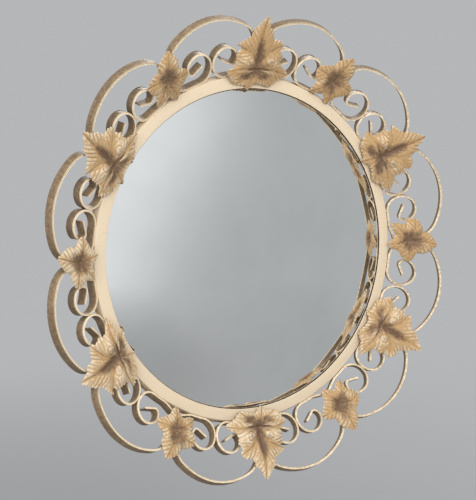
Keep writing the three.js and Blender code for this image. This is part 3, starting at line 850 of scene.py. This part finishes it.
def leaf(pattern, relief, placing, reach, tilt, rest, dome, rng):
    """Mesh of one pressed leaf at the top of the mirror."""
    degrees, across, outwards, wear_and_light = placing
    middle = (across, RIM_RADIUS + reach + outwards)
    plan = np.vstack([pattern.points, pattern.rim])
    x, z = (spun(plan, -math.radians(degrees)) + middle).T

    # Its bed is the tilted seat, bent softly forwards where the ground stands in front of it.
    seat = LIP_FRONT - rest[1] - (z - rest[0]) * math.tan(tilt)
    ground = ground_front(np.hypot(x, z)) - FIT_GAP
    blend = 0.5
    bed = -blend * np.logaddexp(-seat / blend, -ground / blend)

    # The relief drifts a little, and the whole leaf waves, so that no two are the same.
    phase = rng.uniform(0, 2 * math.pi, 4)
    drift = np.stack([np.sin(plan[:, 1] / 9 + phase[0]),
                      np.sin(plan[:, 0] / 9 + phase[1])], axis=1)
    u, v = (plan + 0.7 * drift).T
    share = pattern.share
    height, brown = relief(u, v, share)
    near = [relief(u + 1.1 * math.cos(a), v + 1.1 * math.sin(a), share)[0] for a in full_turn(8)]
    hollow = np.mean(near, axis=0) - height
    height += 0.35 * np.sin(plan[:, 0] / 11 + phase[2]) * np.sin(plan[:, 1] / 13 + phase[3])
    back = np.minimum(bed - dome * np.sin(math.pi * share) - height, bed)
    points, faces = leaf_sheet(pattern, x, z, back - LEAF_METAL, back)

    # Raised places and the edge are rubbed, and brown lies in the hollows.
    raised = ease(height, np.percentile(height, 45), np.percentile(height, 97))
    stained = rng.uniform(0.9, 1.08)
    # Painted light: the placing's cream share is larger for the leaves on the left and at the
    # bottom.
    rub_and_highlight = np.clip(wear_and_light - 1.4 * hollow + 0.34 * share ** 4 + 0.26 * raised, 0, 1)
    patina_and_shade = np.clip(stained * brown + 0.6 * hollow, 0, 1)
    inner, count = len(pattern.points), pattern.count
    traits = {key: np.concatenate([face[:inner], np.full(count, EDGE_PAINT[key]),
                                   np.full(inner, BACK_PAINT[key])])
              for key, face in (("rub_and_highlight", rub_and_highlight), ("patina_and_shade", patina_and_shade))}
    return points, faces, traits


def add_leaves(material):
    """Vine and ivy leaves, by turns, one over each scroll."""
    rng = np.random.default_rng(21)
    kinds = [
        ("vine", "vine_gold", LeafPattern(VINE_OUTLINE, VINE_FLUTES, VINE_TOOTH), vine_relief,
         VINE_PLACING, VINE_STAND),
        ("ivy", "ivy_gold", LeafPattern(IVY_OUTLINE, IVY_FLUTES, IVY_TOOTH), ivy_relief,
         IVY_PLACING, IVY_STAND),
    ]
    for pair in range(STATIONS // 2):
        for place, (kind, slot_name, pattern, relief, placings, stand) in enumerate(kinds):
            points, faces, traits = leaf(pattern, relief, placings[pair], *stand, rng)
            points = turned(points, HALF_STATION * (4 * pair + 2 * place))
            piece = to_object(f"{kind}_relief_{pair + 1}", points, faces, traits,
                              PRESSED_SHARP_ANGLE)
            install(piece, f"{kind}_leaf_{pair + 1}", material)


# ---- board, tabs and hanger ----------------
BOARD_ROUND = 0.45
TABS = 6
TAB_WIDTH = 14
TAB_THICKNESS = 1
TAB_BEND = 1.3
TAB_GRIP = 9
TAB_LEG = 4.5
CAD_STEPS = 72            # facets of the large rings that the tabs clear
HANGER_HEIGHT = RIM_RADIUS - 55.6
RING_WIRE = 3
RING_RADIUS = 13
RING_CORNER = 2.2         # bends between the ring's bow and its straight side
RING_PLAY = 0.3
STRAP_WIDTH = 10
STRAP_THICKNESS = 1.2
STRAP_ROUND = 3.6         # corners of the strap's lower end
STRAP_ROLL = 315          # degrees that it is rolled round the ring
SHEET_STEP = 0.7          # spacing of points along a tab or the strap
WIRE_STEPS = 24           # points round the wire
RIVET_SHANK = 3
RIVET_HEAD = 6
RIVET_HEAD_HEIGHT = 1.2
CLENCH_HEAD = 4.8
CLENCH_HEIGHT = 0.6
RIVET_SPACE = 2
RIVET_EDGE = 1.5

TAB_FACE = (wall_outer(0) - RIM_SKIN - FIT_GAP
            - RIM_RADIUS * (1 - math.cos(math.pi / CAD_STEPS)) - TAB_WIDTH ** 2 / (8 * RIM_RADIUS))
TAB_SKIN = TAB_THICKNESS / math.cos(DISH)
BOARD_RADIUS = TAB_FACE + BOARD_FRONT * math.tan(DISH) - TAB_SKIN - FIT_GAP
LOOP_RADIUS = RING_WIRE / 2 + RING_PLAY + STRAP_THICKNESS / 2
HANGER_AXIS = FIT_GAP + LOOP_RADIUS + STRAP_THICKNESS / 2
UPPER_RIVET = HANGER_HEIGHT - RING_RADIUS - RING_WIRE / 2 - RIVET_SPACE - RIVET_HEAD / 2
LOWER_RIVET = UPPER_RIVET - RIVET_HEAD - RIVET_SPACE
STRAP_END = LOWER_RIVET - RIVET_HEAD / 2 - RIVET_EDGE
STRAP_REAR = FIT_GAP + STRAP_THICKNESS


def strip(path, half_widths, thickness, corner):
    """A sheet strip along a plane path (a, b); its width lies square to the path's plane.

    Points are (a, b, width), and the section's long edges are rounded."""
    side = way_and_side(path)[1]
    half = thickness / 2
    rings = []
    for point, normal, width in zip(path, side, half_widths):
        corners = [(-half, -width), (half, -width), (half, width), (-half, width)]
        section = rounded(corners, corner, 3)
        flat = point[None] + normal[None] * section[:, :1]
        rings.append(np.hstack([flat, section[:, 1:]]))
    return tube(rings)


def strip_widths(path, width, *rounds):
    """Half widths along a strip; rounds are the radii of the corners at its two ends."""
    length = np.concatenate([[0], np.cumsum(np.linalg.norm(np.diff(path, axis=0), axis=1))])
    widths = []
    for distance, r in zip((length, length[-1] - length), rounds):
        lag = np.clip(r - distance, 0, r)
        widths.append(width / 2 - r + np.sqrt(np.maximum(r ** 2 - lag ** 2, (0.25 * r) ** 2)))
    return np.minimum(*widths)


def filled(path, step):
    """Adds points along the straight runs of a path."""
    points = [np.asarray(path[0], dtype=float)]
    for a, b in zip(path[:-1], path[1:]):
        count = max(1, int(np.linalg.norm(np.subtract(b, a)) / step))
        points += [np.add(a, np.subtract(b, a) * k / count) for k in range(1, count + 1)]
    return np.array(points)


def add_board(material):
    radii = np.linspace(0, BOARD_RADIUS, 24)[1:-1]
    front = [(r, BOARD_FRONT) for r in radii]
    rear = [(r, 0.0) for r in radii[::-1]]
    steps = 4
    section = [(BOARD_RADIUS, BOARD_FRONT), (BOARD_RADIUS, 0), (0, 0), (0, BOARD_FRONT)]
    edge = rounded(section, BOARD_ROUND, steps)[:2 * (steps + 1)]
    points, faces = revolve(front + edge.tolist() + rear, DISC_STEPS, on_axis=True)
    install(to_object("fibre_disc", points, faces), "back_board", material)


def add_tabs(material):
    """Tabs whose legs lie inside the rim's wall and which are bent over the board."""
    lean = math.tan(DISH)
    front, rear = RIM_REAR - TAB_LEG, FIT_GAP + TAB_THICKNESS / 2
    middle = TAB_FACE - TAB_SKIN / 2
    tip = BOARD_RADIUS - TAB_GRIP
    corners = [(middle + front * lean, front, 0), (middle + rear * lean, rear, TAB_BEND),
               (tip, rear, 0)]
    path = filled(rounded(corners, 0, 6), SHEET_STEP)
    flat, faces = strip(path, strip_widths(path, TAB_WIDTH, 0.6, 2.4), TAB_THICKNESS, 0.18)
    for i in range(TABS):
        piece = to_object(f"bent_tab_{i + 1}", turned(flat, 2 * math.pi * i / TABS), faces)
        install(piece, f"retaining_tab_{i + 1}", material)


def add_strap(material):
    """The strap lies on the board and is rolled round the ring's straight side."""
    middle = FIT_GAP + STRAP_THICKNESS / 2
    path = [(z, middle) for z in np.arange(STRAP_END, HANGER_HEIGHT, SHEET_STEP)]
    for a in np.radians(np.arange(0, STRAP_ROLL + 1, 9)):
        path.append((HANGER_HEIGHT + LOOP_RADIUS * math.sin(a),
                     HANGER_AXIS - LOOP_RADIUS * math.cos(a)))
    path = np.array(path)
    widths = strip_widths(path, STRAP_WIDTH, STRAP_ROUND, 0.4)
    flat, faces = strip(path, widths, STRAP_THICKNESS, 0.2)
    piece = to_object("rolled_strap", flat[:, [2, 1, 0]], flipped(faces))
    install(piece, "hanger_strap", material)


def add_ring(material):
    """The wire ring: a bow below, and above it the straight side that the strap holds."""
    meet = math.sqrt(RING_RADIUS ** 2 - RING_CORNER ** 2)
    turn = math.atan2(RING_CORNER, meet)
    bend = meet - RING_CORNER

    def corner(x, angles):
        return [(x + RING_CORNER * math.cos(a), -RING_CORNER + RING_CORNER * math.sin(a))
                for a in angles]

    path = [(RING_RADIUS * math.cos(a), RING_RADIUS * math.sin(a))
            for a in np.linspace(math.pi + turn, 2 * math.pi - turn, 60)]
    path += corner(bend, np.linspace(0, math.pi / 2, 9)[1:])
    path += [(x, 0.0) for x in np.linspace(bend, -bend, 24)[1:]]
    path += corner(-bend, np.linspace(math.pi / 2, math.pi, 9)[1:-1])
    path = np.array(path)
    way = np.roll(path, -1, axis=0) - np.roll(path, 1, axis=0)
    way /= np.linalg.norm(way, axis=1)[:, None]
    points = []
    for place, along in zip(path, way):
        for a in full_turn(WIRE_STEPS):
            out = RING_WIRE / 2 * math.cos(a)
            points.append([place[0] - along[1] * out, HANGER_AXIS + RING_WIRE / 2 * math.sin(a),
                           HANGER_HEIGHT + place[1] + along[0] * out])
    piece = to_object("wire_ring", points, grid_faces(len(path), WIRE_STEPS, wrap_rows=True))
    install(piece, "hanger_ring", material, body="ring")


def add_rivets(material):
    """Rivets with a domed head on the strap, clenched in front of the board."""
    seat, clench = STRAP_REAR + FIT_GAP, BOARD_FRONT - FIT_GAP
    outline = [(0.4, clench - CLENCH_HEIGHT), (1.4, clench - CLENCH_HEIGHT),
               (CLENCH_HEAD / 2 - 0.25, clench - 0.8 * CLENCH_HEIGHT),
               (CLENCH_HEAD / 2, clench - 0.45 * CLENCH_HEIGHT), (CLENCH_HEAD / 2 - 0.1, clench),
               (RIVET_SHANK / 2, clench), (RIVET_SHANK / 2, seat), (RIVET_HEAD / 2 - 0.1, seat)]
    for a in np.linspace(0.12, math.pi / 2 - 0.1, 9):
        outline.append((RIVET_HEAD / 2 * math.cos(a), seat + RIVET_HEAD_HEIGHT * math.sin(a)))
    points, faces = revolve(outline, 40, on_axis=True)
    points[-1][1] = seat + RIVET_HEAD_HEIGHT
    for i, height in enumerate((UPPER_RIVET, LOWER_RIVET)):
        piece = to_object(f"domed_rivet_{i + 1}", points + [0, 0, height], faces)
        install(piece, f"hanger_rivet_{i + 1}", material)


# ---- camera, at the photo's viewpoint ------
CAMERA_YAW = math.radians(31.38)
CAMERA_PITCH = math.radians(-5.75)
CAMERA_ROLL = math.radians(-0.475)
CAMERA_TARGET = (-18.11, LIP_FRONT, 1.22)
CAMERA_DISTANCE = 1244.5
CAMERA_SENSOR = 36
CAMERA_LENS = 84.79


def add_camera():
    data = bpy.data.cameras.new("camera")
    data.sensor_width = CAMERA_SENSOR
    data.lens = CAMERA_LENS
    camera = bpy.data.objects.new("camera", data)
    bpy.context.scene.collection.objects.link(camera)
    rotation = (Matrix.Rotation(-CAMERA_YAW, 4, "Z")
                @ Matrix.Rotation(math.pi / 2 + CAMERA_PITCH, 4, "X")
                @ Matrix.Rotation(CAMERA_ROLL, 4, "Z"))
    back = Matrix.Translation((0, 0, CAMERA_DISTANCE * MM))
    camera.matrix_world = Matrix.Translation(Vector(CAMERA_TARGET) * MM) @ rotation @ back
    bpy.context.scene.camera = camera


# ---- stage, in metres ----------------------
BACKDROP = (0.46, 0.47, 0.48)
# The room's light and dark sides: their direction, from which lean to which they spread, colour.
ROOM_SIDES = [((-0.5, -0.85, 0.3), 0.1, 1.0, (0.80, 0.81, 0.82)),
              ((0.75, -0.75, -0.35), 0.2, 1.0, (0.44, 0.45, 0.455))]
FLOOR_COLOR = (0.34, 0.345, 0.35)
FLOOR_HEIGHT = -0.42
FLOOR_REACH = 2.2
FLOOR_FADE = (0.4, 1.9)   # where it starts to fade, and where it has gone
FLOOR_TURNS, FLOOR_RINGS = 96, 8
LAMP_DISTANCE = 2.0


def add_lamp(name, azimuth, elevation, size, power, warmth=(1, 1, 1), mirrored=True):
    """An area lamp that looks at the mirror; azimuth -90 is on the viewer's left.

    A lamp that isn't mirrored lights the paint but shows in no reflection."""
    a, e = math.radians(azimuth), math.radians(elevation)
    data = bpy.data.lights.new(name, "AREA")
    data.shape = "DISK"
    data.size = size
    data.energy = power
    data.color = warmth
    lamp = bpy.data.objects.new(name, data)
    away = Vector((math.sin(a) * math.cos(e), -math.cos(a) * math.cos(e), math.sin(e)))
    lamp.location = away * LAMP_DISTANCE
    lamp.rotation_mode = "QUATERNION"
    lamp.rotation_quaternion = (-away).to_track_quat("-Z", "Y")
    lamp.visible_camera = False
    lamp.visible_glossy = mirrored
    bpy.context.scene.collection.objects.link(lamp)


def add_world():
    """An even pale room, lighter to the left and above, darker low on the right."""
    g = Graph("studio", "worlds", "Background")
    color = BACKDROP
    for direction, low, high, tint in ROOM_SIDES:
        lean = g.add("ShaderNodeVectorMath", {0: g.places["Generated"]}, operation="DOT_PRODUCT")
        lean.inputs[1].default_value = Vector(direction).normalized()
        share = g.fit(lean.outputs["Value"], low, high, interpolation="SMOOTHERSTEP")
        color = g.mix(share, color, tint)
    bpy.context.scene.world = g.finish(Color=color)


def add_floor():
    """A flat floor that fades into the backdrop."""
    radii = np.linspace(0, FLOOR_REACH, FLOOR_RINGS + 1)[1:]
    points = [[r * math.sin(t), r * math.cos(t), FLOOR_HEIGHT]
              for t in full_turn(FLOOR_TURNS) for r in radii]
    middle = len(points)
    points.append([0, 0, FLOOR_HEIGHT])
    faces = grid_faces(FLOOR_TURNS, FLOOR_RINGS, wrap_rows=True, wrap_columns=False)
    faces += [(middle, (i + 1) % FLOOR_TURNS * FLOOR_RINGS, i * FLOOR_RINGS)
              for i in range(FLOOR_TURNS)]
    floor = to_object("studio_floor", np.array(points) / MM, flipped(faces))
    g = Graph("studio_floor")
    distance = g.add("ShaderNodeVectorMath", {0: g.places["Object"]}, operation="LENGTH")
    fade = g.fit(distance.outputs["Value"], *FLOOR_FADE, 1.0, 0.0, interpolation="SMOOTHERSTEP")
    floor.data.materials.append(
        g.finish(Base_Color=FLOOR_COLOR, Roughness=0.9, Specular_IOR_Level=0.1, Alpha=fade))


def add_stage():
    bpy.context.scene.view_settings.view_transform = "Standard"
    add_world()
    add_floor()
    add_lamp("key", -6, 22, 0.8, 17, (1, 0.98, 0.95), mirrored=False)
    add_lamp("left", -58, 12, 0.9, 7, (1, 0.97, 0.93))
    add_lamp("fill", -25, 62, 1.2, 6)
    add_lamp("back", 150, 40, 0.9, 14)
    add_lamp("side", 96, 8, 0.9, 11, mirrored=False)


# ---- assembly ------------------------------
add_rim(gold_paint("cream_gold_paint", *RIM_PAINT))
add_glass(mirror_material())
bar_paint = gold_paint("bar_gold_paint", *BAR_PAINT)
add_bars(bar_paint)
add_brazing(bar_paint)
add_leaves(gold_paint("leaf_paint", *LEAF_PAINT))

tinned = steel_material("tinned_sheet", (0.56, 0.56, 0.53), 0.35)
wire = steel_material("steel_wire", (0.48, 0.48, 0.47), 0.3)
add_board(board_material())
add_tabs(tinned)
add_strap(tinned)
add_ring(wire)
add_rivets(wire)
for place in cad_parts["packing_ring"].material_slots:
    place.material = card_material()

add_camera()
add_stage()
